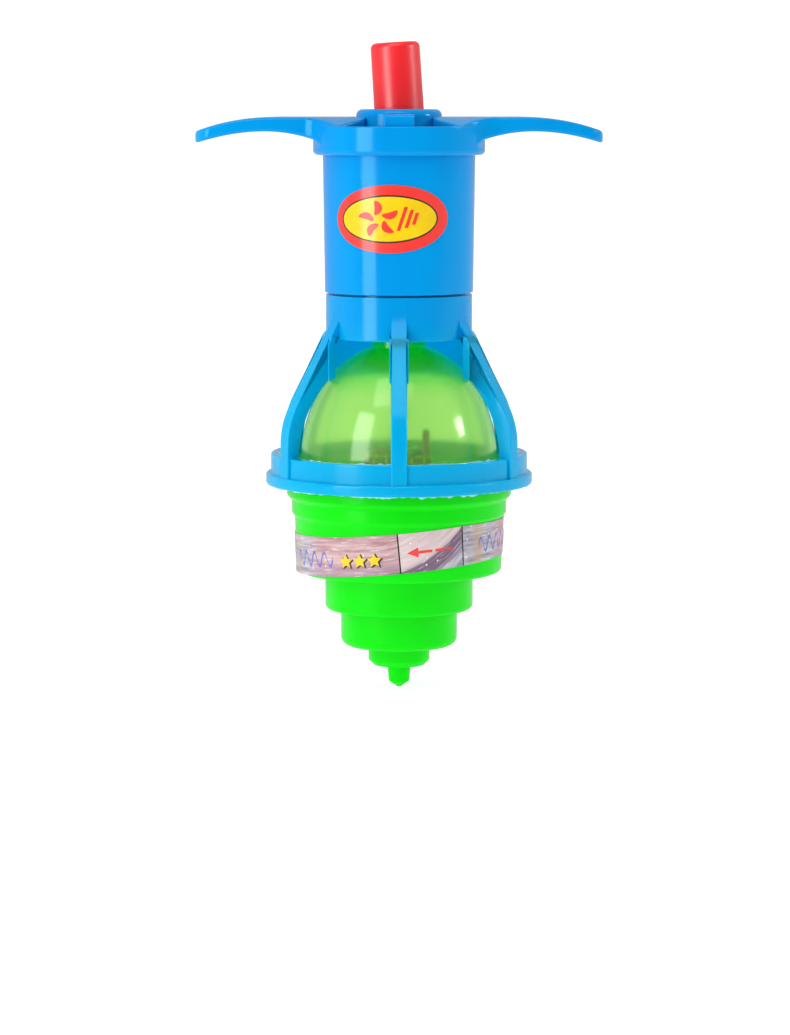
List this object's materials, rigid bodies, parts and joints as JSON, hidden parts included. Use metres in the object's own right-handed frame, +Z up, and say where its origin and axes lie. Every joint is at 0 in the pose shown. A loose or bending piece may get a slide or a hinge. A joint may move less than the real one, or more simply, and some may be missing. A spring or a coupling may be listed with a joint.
{
  "type": "light-up spinning top with launcher",
  "caption": "Winged hand launcher with a thumb plunger and open cage, holding a stepped spinning top whose clear dome covers a flashing light board.",
  "frame": {"origin": "point of the top's tip, on the common axis of launcher and top", "axes": "+Z up along the common axis to the thumb plunger; +X along the right wing; -Y is the front with the oval sticker"},
  "size_m": [0.0626, 0.0412, 0.1],
  "materials": {
    "blue_shell": "glossy moulded polystyrene",
    "cyan_shell": "glossy moulded polystyrene, paler where thin",
    "sticker_print": "printed glossy film",
    "spring_steel": "drawn spring wire",
    "red_plastic": "glossy moulded polystyrene",
    "white_plastic": "plain moulded acetal",
    "screw_steel": "zinc plated",
    "green_shell": "bright glossy polystyrene",
    "label_print": "printed strip",
    "clear_green": "clear tinted polystyrene",
    "board_brown": "phenolic paper board",
    "chip_resin": "black resin",
    "pin_steel": "tinned pin",
    "copper": "copper wire",
    "contact_brass": "bright brass strip",
    "lens_red": "clear lens",
    "lens_green": "clear lens",
    "lens_blue": "clear lens",
    "cell_steel": "nickel plated can"
  },
  "bodies": {
    "launcher": {"wing_cap": "blue_shell", "barrel": "blue_shell", "cage": "cyan_shell", "oval_sticker": "sticker_print", "main_spring": "spring_steel"},
    "plunger": {"plunger": "red_plastic"},
    "rotor": {"rotor": "green_shell", "spring_carrier": "white_plastic", "carrier_screw": "screw_steel"},
    "top": {"top_body": "green_shell", "wrap_label": "label_print", "dome": "clear_green", "battery_holder": "green_shell", "pcb": "board_brown", "pcb_screws": "screw_steel", "driver_chip": "chip_resin", "resistor": "chip_resin", "switch_post": "pin_steel", "switch_spring": "copper", "contact_plus": "contact_brass", "contact_minus": "contact_brass", "led_leads": "contact_brass", "led_red": "lens_red", "led_green": "lens_green", "led_blue": "lens_blue", "button_cell_1": "cell_steel", "button_cell_2": "cell_steel", "button_cell_3": "cell_steel"}
  },
  "joints": [
    {"name": "plunger_press", "type": "slide", "parent": "launcher", "child": "plunger", "axis": [0, 0, -1], "range_m": [0, 0.005], "stiffness_N_per_m": 150, "springref_m": -0.008, "deforming": ["main_spring"]},
    {"name": "rotor_spin", "type": "hinge", "parent": "plunger", "child": "rotor", "pos_m": [0, 0, 0.0612], "axis": [0, 0, 1], "continuous": true},
    {"name": "top_launch", "type": "slide", "parent": "rotor", "child": "top", "axis": [0, 0, -1], "range_m": [0, 0.026]}
  ]
}
